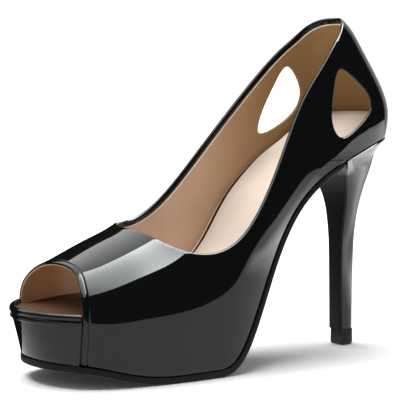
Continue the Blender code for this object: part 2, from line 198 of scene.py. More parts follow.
TABLE_Z = 0.0002
TABLE_LIGHT = 1.2
TABLE_EDGE = [
    (-0.061, -0.13), (-FLOOR_REACH, -FLOOR_REACH), (-1.34, -FLOOR_REACH), (0.142, -0.175), (0.155, -0.09),
    (0.165, 0.0), (0.185, 0.09), (0.212, 0.18), (0.242, 0.27), (0.25, 0.33), (0.235, 0.38), (0.19, 0.41),
    (0.13, 0.42), (-FLOOR_REACH, 0.42), (-FLOOR_REACH, 0.03), (-0.061, 0.0),
]
light_panel("table", [(x, y, TABLE_Z) for x, y in TABLE_EDGE], [TABLE_LIGHT] * len(TABLE_EDGE))
BRIGHT_Z = 0.0004
BRIGHT_PART = [
    # x, y, light
    (0.03, 0.29, 4.0),
    (0.17, 0.26, 3.4),
    (-0.06, 0.24, TABLE_LIGHT),
    (0.03, 0.19, TABLE_LIGHT),
    (0.19, 0.19, TABLE_LIGHT),
    (0.213, 0.22, TABLE_LIGHT),
    (0.24, 0.30, TABLE_LIGHT),
    (0.05, 0.36, TABLE_LIGHT),
    (-0.06, 0.36, TABLE_LIGHT),
]
light_panel(
    "table's bright part",
    [(x, y, BRIGHT_Z) for x, y, _ in BRIGHT_PART],
    [light for _, _, light in BRIGHT_PART],
    [(0, 2, 3), (0, 3, 4, 1), (1, 4, 5), (1, 5, 6), (0, 1, 6, 7), (0, 7, 8), (0, 8, 2)],
)
LOW_SHELF_Z = 0.088
LOW_SHELF_LIGHT = 1.9
LOW_SHELF = [(0.0, 0.053), (0.032, 0.053), (0.044, 0.068), (0.0505, 0.0748), (0.047, 0.084), (0.0, 0.084)]
light_panel("low shelf", [(x, y, LOW_SHELF_Z) for x, y in LOW_SHELF], [LOW_SHELF_LIGHT] * len(LOW_SHELF))
HIGH_SHELF_Z = 0.0972
HIGH_SHELF = [
    # x, y, light
    (0.0, 0.05, 1.2),
    (0.024, 0.049, 1.4),
    (0.032, 0.061, 2.0),
    (0.044, 0.074, 3.0),
    (0.062, 0.091, 3.5),
    (0.076, 0.109, 3.4),
    (0.094, 0.152, 2.6),
    (0.088, 0.192, 1.8),
    (0.062, 0.266, 1.4),
    (0.0, 0.33, 1.3),
]
light_panel(
    "high shelf",
    [(x, y, HIGH_SHELF_Z) for x, y, _ in HIGH_SHELF],
    [light for _, _, light in HIGH_SHELF],
)

# The last is the form that the shoe is drawn over, in millimetres: x to the outer side, s from the heel to
# the toe, z up. Its wall lines run from the bottom edge to the ridge, splined round the heel and both sides.
WALL_LINES = np.array([
    # s, outer, inner, bottom z, widest z, ridge s, ridge z, tuck, lean
    (0, 0, 0, 107.5, 123.5, 48.0, 171.5, 2.5, 0.35),
    (2.5, 16.9, 16.4, 107.0, 123.5, 49.3, 171.3, 2.5, 0.35),
    (13.5, 27.5, 26.8, 105.4, 121.8, 51.6, 171.0, 2.5, 0.30),
    (38, 30, 29, 96.3, 115.0, 59.0, 169.6, 2.5, 0.15),
    (64, 29.2, 29, 79.2, 100.0, 73.3, 163.0, 2.5, 0.105),
    (88, 34.4, 30, 48.0, 80.0, 91.5, 142.7, 2.5, 0.10),
    (112, 38.8, 36.3, 6.0, 56.2, 111.0, 111.5, 3.0, 0.096),
    (124, 39.2, 37.9, 3.2, 48.8, 123.0, 92.0, 3.0, 0.10),
    (138, 38.8, 38.6, 3.0, 43.4, 135.3, 76.5, 3.0, 0.105),
    (162, 36.4, 38.2, 4.5, 39.3, 159.0, 64.3, 3.0, 0.096),
    (190, 26.5, 31.8, 11.0, 35.0, 184.8, 54.9, 3.5, 0.12),
    (204, 12.6, 21.5, 12.0, 38.0, 196.0, 53.5, 5.0, 0.10),
    (209, -3.5, 3.5, 12.0, 39.0, 199.0, 53.0, 7.0, 0.10),
], float)
SEAM_ROW = 10
LOWER_TUCK = 0.45
LOWER_RISE = 0.4
BELLY_OUT = 0.8
BELLY_RISE = 0.02
SHOULDER = 0.62
CROWN = 0.52
SQUARE_FROM = (112, 138)


def spline(knots, values):
    """Natural cubic spline through the values: its second derivatives solve one tridiagonal system."""
    knots = np.asarray(knots, float)
    values = np.asarray(values, float)
    count = len(knots)
    step = np.diff(knots)
    matrix = np.eye(count)
    right = np.zeros(values.shape)
    for i in range(1, count - 1):
        matrix[i, i - 1:i + 2] = step[i - 1], 2 * (step[i - 1] + step[i]), step[i]
        right[i] = 6 * ((values[i + 1] - values[i]) / step[i] - (values[i] - values[i - 1]) / step[i - 1])
    bend = np.linalg.solve(matrix, right.reshape(count, -1)).reshape(values.shape)

    def at(where):
        """The curve at each place: the cubic through the two knots that it lies between."""
        where = np.asarray(where, float)
        i = np.clip(np.searchsorted(knots, where) - 1, 0, count - 2)
        shape = where.shape + (1,) * (values.ndim - 1)
        h = step[i].reshape(shape)
        a = (knots[i + 1] - where).reshape(shape) / h
        b = (where - knots[i]).reshape(shape) / h
        curve = (a**3 - a) * bend[i] + (b**3 - b) * bend[i + 1]
        return a * values[i] + b * values[i + 1] + curve * h**2 / 6
    return at


def wall_basis(v, count=6):
    """Weights of the six control points at v, 0 at the bottom edge and 1 at the ridge: cubic B-spline."""
    v = np.clip(v, 0, 1 - 1e-9)[..., None]
    knots = np.concatenate([np.zeros(3), np.linspace(0, 1, count - 2), np.ones(3)])
    weight = ((v >= knots[:-1]) & (v < knots[1:])).astype(float)
    for degree in (1, 2, 3):
        left = np.maximum(knots[degree:-1] - knots[:-degree - 1], 1e-12)
        right = np.maximum(knots[degree + 1:] - knots[1:-degree], 1e-12)
        rising = (v - knots[:-degree - 1]) / left * weight[..., :-1]
        weight = rising + (knots[degree + 1:] - v) / right * weight[..., 1:]
    return weight


def last_surface():
    """Control points of the wall lines, splined round the last, with the girth knots that they sit at."""
    s, outer, inner, z_low, z_wide, ridge_s, ridge_z, tuck, lean = WALL_LINES.T
    half = (outer + inner) / 2
    centre = (outer - inner) / 2
    girth = np.concatenate([[0], np.cumsum(np.hypot(np.diff(s), np.diff(half)))])
    rise = ridge_z - z_wide
    square = np.interp(s, SQUARE_FROM, (0, 1))
    sides = []
    for sign in (1, -1):
        base = np.stack([sign * half + centre, s], 1)
        inward = np.stack([centre, ridge_s], 1) - base
        depth = np.linalg.norm(inward, axis=1)
        inward /= depth[:, None]
        rows = [
            (tuck, z_low),
            (LOWER_TUCK * tuck, z_low + LOWER_RISE * (z_wide - z_low)),
            (np.full_like(s, -BELLY_OUT), z_wide + BELLY_RISE * rise),
            (lean * depth, z_wide + SHOULDER * rise),
            (CROWN * depth, ridge_z),
            (depth, ridge_z),
        ]
        points = np.stack([np.column_stack([base + inward * into[:, None], z]) for into, z in rows], 1)
        points[:, 4, 1] += square * (ridge_s - points[:, 4, 1])
        sides.append(points)
    outer_side, inner_side = sides
    order = np.concatenate([outer_side[-3:-1], inner_side[::-1], outer_side[1:], inner_side[::-1][1:3]])
    whole = 2 * girth[-1]
    knots = np.concatenate([girth[-3:-1] - whole, -girth[::-1], girth[1:], whole - girth[::-1][1:3]])
    return spline(knots, order), girth, s


CONTROL, GIRTH, WALL_S = last_surface()
SEAM_T = GIRTH[SEAM_ROW]
NORMAL_STEP_T = 0.2
NORMAL_STEP_V = 0.004
HIGHEST_V = 0.9


def wall(t, v):
    """Outer face at girth t, 0 at the back and positive on the outer side, and height fraction v."""
    t, v = np.broadcast_arrays(np.asarray(t, float), np.asarray(v, float))
    return np.einsum("...k,...kd->...d", wall_basis(v), CONTROL(t))


def wall_normal(t, v):
    """Outward unit normal: the cross product of the steps along the girth and up the wall."""
    t, v = np.broadcast_arrays(np.asarray(t, float), np.asarray(v, float))
    along = wall(t + NORMAL_STEP_T, v) - wall(t - NORMAL_STEP_T, v)
    up = wall(t, np.clip(v + NORMAL_STEP_V, 0, 1)) - wall(t, np.clip(v - NORMAL_STEP_V, 0, 1))
    normal = np.cross(along, up)
    return normal / np.linalg.norm(normal, axis=-1, keepdims=True)


def wall_inside(t, v, depth):
    """The outer face moved inward by the depth."""
    return wall(t, v) - np.asarray(depth, float)[..., None] * wall_normal(t, v)


def girth_at(s):
    """Girth of the wall line that starts at s."""
    return np.interp(s, WALL_S, GIRTH)


def height_fraction(t, z, depth=0.0):
    """The v at which the wall, moved inward by depth, reaches height z, at each girth t."""
    steps = np.linspace(0, HIGHEST_V, 121)
    heights = wall_inside(np.asarray(t)[:, None], steps, np.full((1, 1), depth))[..., 2]
    found = []
    for column, one_z in zip(heights, np.broadcast_to(z, np.shape(t))):
        top = int(np.argmax(column))
        found.append(np.interp(one_z, column[:top + 1], steps[:top + 1]))
    return np.array(found)


# The upper is patent leather with a thin lining glued behind it, 1.8 mm in all. It is cut out with a topline,
# a peep arch and a D on each side of the heel; every cut edge is turned in over a tape, so it is round.
MM = 0.001
BACK_Y = 103.97
CENTRE_X = -0.23
WALL = 1.8
COLLAR = np.array([
    # s, outer z, inner z
    (0, 166.0, 166.0),
    (17, 162.6, 160.7),
    (27, 158.6, 155.8),
    (38, 152.4, 149.6),
    (50, 142.2, 140.0),
    (64, 127.4, 126.6),
    (88, 90.6, 101.3),
    (112, 63.9, 74.4),
    (136, 57.6, 66.0),
])
THROAT_S = 151.8
THROAT_RUN = {1: 32.0, -1: 35.0}
THROAT_POWER = 2.6
THROAT_T = np.interp(THROAT_S, WALL_S, GIRTH)
CUT_OUT = np.array([
    # outer s, z, inner s, z
    (41.0, 141.8, 36.5, 141.6),
    (31.0, 135.4, 28.5, 135.6),
    (23.4, 124.5, 24.4, 125.4),
    (31.0, 113.9, 31.2, 114.7),
    (42.0, 107.5, 48.0, 106.8),
    (48.4, 113.5, 52.2, 110.6),
    (48.9, 124.0, 48.9, 120.5),
    (46.0, 135.5, 42.8, 133.0),
])
RIM_ROOM = 0.007
RIM_FADE = 4.0
knots_t = np.linspace(-THROAT_T, THROAT_T, 241)
collar_knots = girth_at(COLLAR[:, 0])
collar_round = spline(
    np.concatenate([-collar_knots[:0:-1], collar_knots]),
    np.concatenate([COLLAR[:0:-1, 2], COLLAR[:, 1]]),
)
collar_reach = np.clip(knots_t, -collar_knots[-1], collar_knots[-1])
collar_v = height_fraction(knots_t, collar_round(collar_reach))


def topline(t):
    """Height fraction of the topline: its height spline, drawn up to the ridge at the throat.

    The rise to the ridge is a superellipse, and a little room is left below the edge for its round rim.
    """
    t = np.asarray(t, float)
    base = np.interp(t, knots_t, collar_v)
    run = np.where(t > 0, THROAT_RUN[1], THROAT_RUN[-1])
    back = np.clip((THROAT_T - np.abs(t)) / run, 0, 1)
    rounding = (1 - (1 - back) ** THROAT_POWER) ** (1 / THROAT_POWER)
    rim_room = RIM_ROOM * np.clip((THROAT_T - np.abs(t)) / RIM_FADE, 0, 1)
    return np.where(np.abs(t) < THROAT_T, 1 - (1 - base) * rounding - rim_room, 2.0)


def outline_of(corners, steps=320):
    """Closed smooth outline through the corners, in side view."""
    repeated = np.concatenate([corners, corners, corners])
    count = len(corners)
    return spline(np.arange(3 * count), repeated)(count + np.linspace(0, count, steps + 1)[:-1])


def within(points, outline):
    """True for each point inside the closed outline: it crosses the outline an odd number of times."""
    a = outline
    b = np.roll(outline, -1, axis=0)
    x = points[:, 0, None]
    y = points[:, 1, None]
    spans = (a[:, 1] > y) != (b[:, 1] > y)
    rise = np.where(b[:, 1] == a[:, 1], 1e-12, b[:, 1] - a[:, 1])
    meets = a[:, 0] + (y - a[:, 1]) / rise * (b[:, 0] - a[:, 0])
    return (spans & (x < meets)).sum(1) % 2 == 1


HOLES = {1: outline_of(CUT_OUT[:, :2]), -1: outline_of(CUT_OUT[:, 2:])}


def leather(t, v):
    """True where the upper has material: below the topline and outside both cut-outs."""
    there = v <= topline(t)
    spot = wall(t, v)[..., 1:]
    for side, hole in HOLES.items():
        there &= ~(within(spot.reshape(-1, 2), hole).reshape(t.shape) & (np.sign(t) == side))
    return there


def quad_grid(rows, across, round_rows=False, round_across=False):
    """Faces between the points of a grid, as index rows; either way round may close on itself."""
    i = np.arange(rows if round_rows else rows - 1)[:, None]
    j = np.arange(across if round_across else across - 1)[None, :]
    after = (i + 1) % rows
    beside = (j + 1) % across
    corners = (i * across + j, i * across + beside, after * across + beside, after * across + j)
    return np.stack(corners, -1).reshape(-1, 4)


def cut_sheet(t, v, there, rule, halvings=16):
    """Grid faces trimmed to a rule: the nearer end of each edge that crosses the border moves onto it.

    Returns the moved t and v and the faces as index rows, with a repeated corner in a triangle.
    """
    shape = t.shape
    index = np.arange(t.size).reshape(shape)
    t = t.ravel().copy()
    v = v.ravel().copy()
    there = there.ravel()
    pairs = np.concatenate([
        np.column_stack([index[:-1].ravel(), index[1:].ravel()]),
        np.column_stack([index[:, :-1].ravel(), index[:, 1:].ravel()]),
    ])
    pairs = pairs[there[pairs[:, 0]] != there[pairs[:, 1]]]
    swap = ~there[pairs[:, 0]]
    pairs[swap] = pairs[swap][:, ::-1]
    low = np.zeros(len(pairs))
    high = np.ones(len(pairs))
    t_in, t_out = t[pairs[:, 0]], t[pairs[:, 1]]
    v_in, v_out = v[pairs[:, 0]], v[pairs[:, 1]]
    for _ in range(halvings):
        middle = (low + high) / 2
        good = rule(t_in + middle * (t_out - t_in), v_in + middle * (v_out - v_in))
        low = np.where(good, middle, low)
        high = np.where(good, high, middle)
    t_cut = t_in + low * (t_out - t_in)
    v_cut = v_in + low * (v_out - v_in)
    moving = np.where(low < 0.5, pairs[:, 0], pairs[:, 1])
    travel = np.where(low < 0.5, low, 1 - low)
    state = np.where(there, 1, -1)
    for k in np.argsort(-travel):
        t[moving[k]] = t_cut[k]
        v[moving[k]] = v_cut[k]
    state[moving] = 0
    quads = quad_grid(*shape)
    marks = state[quads]
    out = (marks < 0).sum(1)
    middle_t = t[quads].mean(1)
    middle_v = v[quads].mean(1)
    all_on = (marks == 0).all(1)
    whole = (out == 0) & (~all_on | rule(middle_t, middle_v))
    faces = [quads[whole]]
    for corner in range(4):
        one = (out == 1) & (marks[:, corner] < 0) & (marks[:, (corner + 2) % 4] > 0)
        left = quads[one][:, [(corner + 1) % 4, (corner + 2) % 4, (corner + 3) % 4]]
        faces.append(np.column_stack([left, left[:, 2]]))
    return t, v, np.concatenate(faces)


def border_loops(faces):
    """Closed loops of the directed edges that only one face has."""
    directed = np.concatenate([faces[:, [k, (k + 1) % 4]] for k in range(4)])
    directed = directed[directed[:, 0] != directed[:, 1]]
    known = {tuple(edge) for edge in directed.tolist()}
    after = {a: b for a, b in known if (b, a) not in known}
    loops = []
    while after:
        start, here = next(iter(after.items()))
        loop = [start]
        del after[start]
        while here != start:
            loop.append(here)
            here = after.pop(here)
        loops.append(np.array(loop))
    return loops


def make_piece(name, points, faces, materials, face_material=None, sharp=50.0):
    """Mesh object from points in millimetres and faces as lists of corners, smooth apart from sharp edges."""
    world_points = np.column_stack([points[:, 0] + CENTRE_X, BACK_Y - points[:, 1], points[:, 2]]) * MM
    mesh = bpy.data.meshes.new(name)
    mesh.from_pydata(world_points.tolist(), [], [tuple(dict.fromkeys(face)) for face in faces])
    for material in materials:
        mesh.materials.append(material)
    if face_material is not None:
        mesh.polygons.foreach_set("material_index", np.asarray(face_material, np.int32))
    mesh.update()
    mesh.shade_smooth()
    mesh.set_sharp_from_angle(angle=np.radians(sharp))
    made = bpy.data.objects.new(name, mesh)
    scene.collection.objects.link(made)
    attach(made, "root")
    return made


def begin_material(name, roughness):
    """New material, its node tree, its shader and the Object coordinates that its patterns lie on."""
    made = bpy.data.materials.new(name)
    made.use_nodes = True
    tree = made.node_tree
    shader = tree.nodes["Principled BSDF"]
    shader.inputs["Roughness"].default_value = roughness
    return made, tree, shader, tree.nodes.new("ShaderNodeTexCoord").outputs["Object"]


def noise(tree, place, scale, detail):
    """Random cloudy pattern."""
    made = tree.nodes.new("ShaderNodeTexNoise")
    made.inputs["Scale"].default_value = scale
    made.inputs["Detail"].default_value = detail
    tree.links.new(place, made.inputs["Vector"])
    return made.outputs["Fac"]


def relief(tree, shader, pattern, strength, depth):
    """Fine relief that follows a pattern, up to the depth in metres."""
    bump = tree.nodes.new("ShaderNodeBump")
    bump.inputs["Strength"].default_value = strength
    bump.inputs["Distance"].default_value = depth
    tree.links.new(pattern, bump.inputs["Height"])
    tree.links.new(bump.outputs["Normal"], shader.inputs["Normal"])


def patent(name, roughness=0.04):
    """Black patent: a clear glossy film over black, with the faint waviness of the leather below it."""
    made, tree, shader, place = begin_material(name, roughness)
    shader.inputs["Base Color"].default_value = (0.0036, 0.0039, 0.0041, 1)
    shader.inputs["IOR"].default_value = 1.41
    shader.inputs["Specular Tint"].default_value = (0.95, 0.99, 1.0, 1)
    relief(tree, shader, noise(tree, place, scale=90.0, detail=2.0), strength=0.05, depth=0.0004)
    return made


def leather_lining(name, tones, roughness=0.55):
    """Smooth lining leather with fine grain: tones along the shoe that can paint light and shade onto it,
    clouded a little darker in places.

    Each tone is a place along the shoe in metres, from the toe's side to the heel's, and its colour.
    """
    made, tree, shader, place = begin_material(name, roughness)
    shader.inputs["Specular IOR Level"].default_value = 0.04
    mix = tree.nodes.new("ShaderNodeMix")
    mix.data_type = "RGBA"
    mix.blend_type = "MULTIPLY"
    mix.inputs["B"].default_value = (0.80, 0.76, 0.70, 1)
    tree.links.new(noise(tree, place, scale=45.0, detail=3.0), mix.inputs["Factor"])
    tree.links.new(mix.outputs["Result"], shader.inputs["Base Color"])
    split = tree.nodes.new("ShaderNodeSeparateXYZ")
    tree.links.new(place, split.inputs["Vector"])
    first = tones[0][0]
    last = tones[-1][0]
    reach = tree.nodes.new("ShaderNodeMapRange")
    reach.inputs["From Min"].default_value = first
    reach.inputs["From Max"].default_value = last
    tree.links.new(split.outputs["Y"], reach.inputs["Value"])
    ramp = tree.nodes.new("ShaderNodeValToRGB")
    tree.links.new(reach.outputs["Result"], ramp.inputs["Fac"])
    tree.links.new(ramp.outputs["Color"], mix.inputs["A"])
    stops = ramp.color_ramp.elements
    for where, _ in tones[1:-1]:
        stops.new((where - first) / (last - first))
    for stop, (_, colour) in zip(stops, tones):
        stop.color = (*colour, 1)
    grain = tree.nodes.new("ShaderNodeTexVoronoi")
    grain.inputs["Scale"].default_value = 1100.0
    tree.links.new(place, grain.inputs["Vector"])
    relief(tree, shader, grain.outputs["Distance"], strength=0.25, depth=0.0002)
    return made


patent_upper = patent("upper_patent")
# Tan lining whose tones along the shoe are painted light and shade: palest where lit just behind the toe,
# with painted shade into the toe and darkest towards the heel.
tan_lining_painted_light_and_shade = leather_lining("tan_lining_painted_light_and_shade", [
    (-0.10, (0.56, 0.33, 0.17)),
    (-0.065, (0.60, 0.36, 0.20)),
    (-0.04, (0.84, 0.65, 0.52)),
    (0.0, (0.76, 0.56, 0.43)),
    (0.035, (0.56, 0.36, 0.22)),
    (0.06, (0.36, 0.22, 0.10)),
    (0.10, (0.34, 0.205, 0.09)),
])

ROWS_UP = 85
SEAM_ZONE = 5
half_t = np.concatenate([
    np.linspace(0, THROAT_T, 146)[:-1],
    np.linspace(THROAT_T, SEAM_T - SEAM_ZONE, 27)[:-1],
    np.linspace(SEAM_T - SEAM_ZONE, SEAM_T, 21),
])
girths = np.concatenate([-half_t[:0:-1], half_t])
grid_t, grid_v = np.meshgrid(girths, np.linspace(0, 1, ROWS_UP), indexing="ij")
t_all, v_all, sheet = cut_sheet(grid_t, grid_v, leather(grid_t, grid_v), leather)

# In front of the throat the two sides meet on the ridge, so the inner side takes the outer side's points.
ridge = np.arange(len(girths)) * ROWS_UP + ROWS_UP - 1
inner_front = (np.abs(girths) >= THROAT_T - 1e-9) & (girths < 0)
twin = np.arange(grid_t.size)
twin[ridge[inner_front]] = ridge[::-1][inner_front]
sheet = twin[sheet]

# A band behind the peep is stitched down in a fine groove, and the bottom edge is turned under the last.
BAND_WIDTH = 2.6
GROOVE_DEPTH = 0.55
GROOVE_WIDTH = 0.30
PEEP_DROP = 0.4
PEEP_RUN = 0.9
TURN_DEPTH = 0.35
TURN_HEIGHT = 0.7
from_seam = SEAM_T - np.abs(t_all)
groove = GROOVE_DEPTH * np.exp(-((from_seam - BAND_WIDTH) / GROOVE_WIDTH) ** 2)
groove += PEEP_DROP * np.exp(-from_seam / PEEP_RUN)
above_edge = wall(t_all, v_all)[:, 2] - wall(t_all, 0.0)[:, 2]
turned_under = TURN_DEPTH * np.clip(1 - above_edge / TURN_HEIGHT, 0, 1) ** 2
outside = wall_inside(t_all, v_all, groove + turned_under)
lining_face = wall_inside(t_all, v_all, np.full(t_all.shape, WALL))

# Every border of the sheet gets a round rim from the patent to the lining: half a turn that bulges outward.
RIM_STEPS = 10
RIM_BULGE = 0.6
PEEP_BULGE = 0.12
PATENT_SHARE = 0.55
count = len(outside)
points = [outside, lining_face]
faces = [sheet, sheet[:, ::-1] + count]
marks = [np.zeros(len(sheet), int), np.ones(len(sheet), int)]
next_index = 2 * count
for loop in border_loops(sheet):
    here = outside[loop]
    under = lining_face[loop]
    along = np.roll(here, -2, axis=0) - np.roll(here, 2, axis=0)
    away_from = np.cross(here - under, along)
    away_from /= np.linalg.norm(away_from, axis=1, keepdims=True)
    bulge = np.full(len(loop), RIM_BULGE)
    bulge[v_all[loop] < 1e-6] = 0.0
    bulge[np.abs(np.abs(t_all[loop]) - SEAM_T) < 1e-6] = PEEP_BULGE
    ring = [loop]
    for k in range(1, RIM_STEPS):
        angle = np.pi * k / RIM_STEPS
        share = (1 - np.cos(angle)) / 2
        points.append(here + (under - here) * share + away_from * (bulge * np.sin(angle))[:, None])
        ring.append(np.arange(next_index, next_index + len(loop)))
        next_index += len(loop)
    ring.append(loop + count)
    for k in range(RIM_STEPS):
        a, b = ring[k], ring[k + 1]
        faces.append(np.column_stack([np.roll(a, -1), a, b, np.roll(b, -1)]))
        marks.append(np.full(len(loop), 0 if k < RIM_STEPS * PATENT_SHARE else 1))
points = np.concatenate(points)
faces = np.concatenate(faces)
used = np.unique(faces)
renumber = np.full(len(points), -1)
renumber[used] = np.arange(len(used))
upper = make_piece(
    "upper_shell", points[used], renumber[faces].tolist(), [patent_upper, tan_lining_painted_light_and_shade], np.concatenate(marks),
)
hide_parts("upper")

# The topline is finished with a narrow fold of the patent, turned over the edge and cemented to the lining:
# a strip that starts on the rounded edge and lies a little proud of the lining, with a pale bead at its end.
FOLD_START = 0.45
FOLD_TURN = 0.95
RIM_LINES = 6
FOLD_PROUD = 0.06
FOLD_LINES = [
    # along the strip from the edge, height above the lining
    (0.4, 0.30), (1.1, 0.34), (1.9, 0.34), (2.15, 0.30), (2.4, 0.42), (2.9, 0.42), (3.1, 0.1), (3.1, -0.1),
]
BEAD_LINE = 3
NEAR_TOPLINE = 0.02
MOST_STRAY = 0.4
# The bead's colour is the cut edge's own pale tone with a painted highlight on it, near white along the
# topline.
fold_bead_edge_and_highlight = leather_lining("fold_bead_edge_and_highlight", [(-0.1, (0.95, 0.86, 0.76)), (0.1, (0.95, 0.86, 0.76))])
for loop in border_loops(sheet):
    # Only the topline's own border gets the fold: few of its points stray from the topline's height.
    if (np.abs(v_all[loop] - topline(t_all[loop])) > NEAR_TOPLINE).mean() > MOST_STRAY:
        continue
    here = outside[loop]
    under = lining_face[loop]
    along = np.roll(here, -3, axis=0) - np.roll(here, 3, axis=0)
    outward = here - under
    outward /= np.linalg.norm(outward, axis=1, keepdims=True)
    into_sheet = np.cross(along, outward)
    into_sheet /= np.linalg.norm(into_sheet, axis=1, keepdims=True)
    rings = []
    for angle in np.linspace(FOLD_START, FOLD_TURN, RIM_LINES) * np.pi:
        share = (1 - np.cos(angle)) / 2
        rings.append(here + (under - here) * share - into_sheet * (RIM_BULGE * np.sin(angle) + FOLD_PROUD))
    for step, rise in FOLD_LINES:
        rings.append(under + into_sheet * step - outward * rise)
    fold_faces = quad_grid(len(loop), len(rings), round_rows=True)[:, ::-1]
    fold_marks = np.tile(np.arange(len(rings) - 1) >= RIM_LINES + BEAD_LINE, len(loop))
    fold_points = np.stack(rings, 1).reshape(-1, 3)
    topline_fold = make_piece(
        "topline_fold", fold_points, fold_faces.tolist(), [patent_upper, fold_bead_edge_and_highlight], fold_marks,
    )

# The insole is a board under a padded sock of pale leather. It lies on the last's underside, its edge a
# little inside the lining, and its front runs over the platform to the rolled lip at the toe.
INSOLE = np.array([
    # s, top z, thickness
    (0, 118.0, 9.0),
    (12, 117.0, 9.0),
    (32, 108.8, 7.5),
    (49, 97.4, 5.0),
    (64, 85.6, 4.0),
    (81, 67.5, 3.8),
    (90, 54.5, 3.4),
    (100, 44.5, 3.0),
    (112, 38.0, 3.0),
    (135, 35.0, 3.0),
    (162, 34.0, 3.0),
    (190, 34.5, 3.0),
    (212, 35.0, 3.0),
])
TOE_TOP = {"centre": -2.65, "half": 28.6, "reach": 15.5}
TOE_BOTTOM = {"centre": -2.65, "half": 25.4, "reach": 9.0}
TOE_POWER = 2.1
TOE_BOTTOM_Z = 11.0
TOE_BOTTOM_TIP_Z = 11.4
LIP_OVERHANG = 1.0
LIP_WIDTH = 3.0
GAP = 0.3
insole_height = spline(INSOLE[:, 0], INSOLE[:, 1])


def insole_bottom(s):
    """Height of the board's underside."""
    return insole_height(s) - np.interp(s, INSOLE[:, 0], INSOLE[:, 2])


def inside_ring(girths, height, depth):
    """Points of the upper's inside, moved in by the depth, at the height that a function gives for s."""
    s = wall_inside(girths, 0.15, np.full(girths.shape, depth))[:, 1]
    for _ in range(3):
        v = height_fraction(girths, height(s), depth)
        ring = wall_inside(girths, v, np.full(girths.shape, depth))
        s = ring[:, 1]
    return ring


def toe_outline(shape, grow, turns):
    """Toe in front of the seam as x and s: a superellipse from the inner side round to the outer side."""
    x = shape["centre"] + (shape["half"] + grow) * turns
    s = WALL_S[SEAM_ROW] + GAP + (shape["reach"] + grow) * (1 - np.abs(turns) ** TOE_POWER)
    return x, s


# The two edges of the sock run from the back of the heel along the lining and round the toe to its tip.
SOCK_INSET = WALL + 0.75
HEEL_ZONE = 12
sock_girths = np.concatenate([np.linspace(0, HEEL_ZONE, 14), np.linspace(HEEL_ZONE, SEAM_T - 1, 150)[1:]])
toe_turns = np.sin(np.linspace(1, 0, 24) * np.pi / 2)
sock_edges = []
for side in (1, -1):
    toe_x, toe_s = toe_outline(TOE_TOP, LIP_OVERHANG - LIP_WIDTH - GAP, side * toe_turns)
    beside_lining = inside_ring(side * sock_girths, insole_height, SOCK_INSET)
    sock_edges.append(np.concatenate([beside_lining, np.column_stack([toe_x, toe_s, insole_height(toe_s)])]))
sock_outer, sock_inner = sock_edges

# Across, the sock starts with the lining's turn onto the insole, then a painted shadow line for the gap
# beside the lining, the padded leather with its rounded edges, and a painted shadow line again at the outer
# side.
SOCK_ROUND = 0.8
TURN_LEAST = 0.3
TURN_PLACE = np.array([
    # s, width of the lining's turn onto the insole at the inner side
    (0, TURN_LEAST),
    (70, TURN_LEAST),
    (90, 1.2),
    (105, 1.8),
    (125, 1.2),
    (150, TURN_LEAST),
    (215, TURN_LEAST),
])
LINE_PLACE = ((0, 45, 70, 110, 150, 215), (0.8, 1.0, 2.0, 2.0, 1.2, 0.5))
OUTER_LINE = 0.3
EDGE_LIFT = ((40, 55, 75, 95), (0.0, 3.0, 3.0, 0.0))
TURN_SHARES = (0, 0.25, 0.5, 0.75, 1.0)
LINE_SHARES = (0.5, 1.0)
SOCK_SPREAD = (1 - np.cos(np.linspace(0, 1, 40)[1:] * np.pi)) / 2
SOCK_CROWN = 0.9
FULL_CROWN_WIDTH = 40
TURN_RISE = 0.6
TOE_DIP = 1.2
TOE_DIP_FROM = 165
TOE_DIP_RUN = 20
middle_s = (sock_outer[:, 1] + sock_inner[:, 1]) / 2
full_width = np.maximum(np.linalg.norm(sock_outer - sock_inner, axis=1), 1e-6)
most = full_width / 8
turn_width = np.minimum(np.interp(middle_s, TURN_PLACE[:, 0], TURN_PLACE[:, 1]), most)
line_width = np.minimum(np.interp(middle_s, *LINE_PLACE), most)
sock_from = turn_width + line_width
sock_to = full_width - line_width - np.minimum(OUTER_LINE, most)
columns_in = [turn_width * share for share in TURN_SHARES]
columns_in += [turn_width + line_width * share for share in LINE_SHARES]
columns_in += [sock_from + (sock_to - sock_from) * share for share in SOCK_SPREAD]
columns_in += [sock_to + line_width, full_width]
from_inner = np.stack(columns_in, 1)
along_chord = (from_inner / full_width[:, None])[..., None]
top_face = sock_inner[:, None] + (sock_outer - sock_inner)[:, None] * along_chord
from_line = np.minimum(from_inner - sock_from[:, None], sock_to[:, None] - from_inner)
shoulder = np.clip(SOCK_ROUND - from_line, 0, SOCK_ROUND)
edge_drop = SOCK_ROUND - np.sqrt(SOCK_ROUND**2 - shoulder**2)
crown = 1 - (2 * along_chord[..., 0] - 1) ** 2
turn_up = np.clip(1 - from_inner / np.maximum(turn_width, 1e-6)[:, None], 0, 1) ** 2
top_face[..., 2] += SOCK_CROWN * crown * np.clip(full_width / FULL_CROWN_WIDTH, 0, 1)[:, None] - edge_drop
top_face[..., 2] += TURN_RISE * turn_up * np.clip(turn_width - TURN_LEAST, 0, None)[:, None]
top_face[..., 2] += np.interp(middle_s, *EDGE_LIFT)[:, None] * (1 - along_chord[..., 0]) ** 4
top_face[..., 2] -= TOE_DIP * np.clip((top_face[..., 1] - TOE_DIP_FROM) / TOE_DIP_RUN, 0, 1)
under_face = top_face.copy()
under_face[..., 2] = insole_bottom(top_face[..., 1])
rows_along, columns = top_face.shape[:2]
size = rows_along * columns
index = np.arange(size).reshape(rows_along, columns)
top_quads = quad_grid(rows_along, columns)[:, [0, 3, 2, 1]]
edge = np.concatenate([index[:, 0], index[-1, 1:], index[-2::-1, -1], index[0, -2:0:-1]])
side_quads = np.column_stack([edge, np.roll(edge, -1), np.roll(edge, -1) + size, edge + size])
sock_faces = np.concatenate([top_quads, top_quads[:, ::-1] + size, side_quads])
SOCK_MARK, LINING_MARK, GAP_SHADOW_MARK = 0, 1, 2
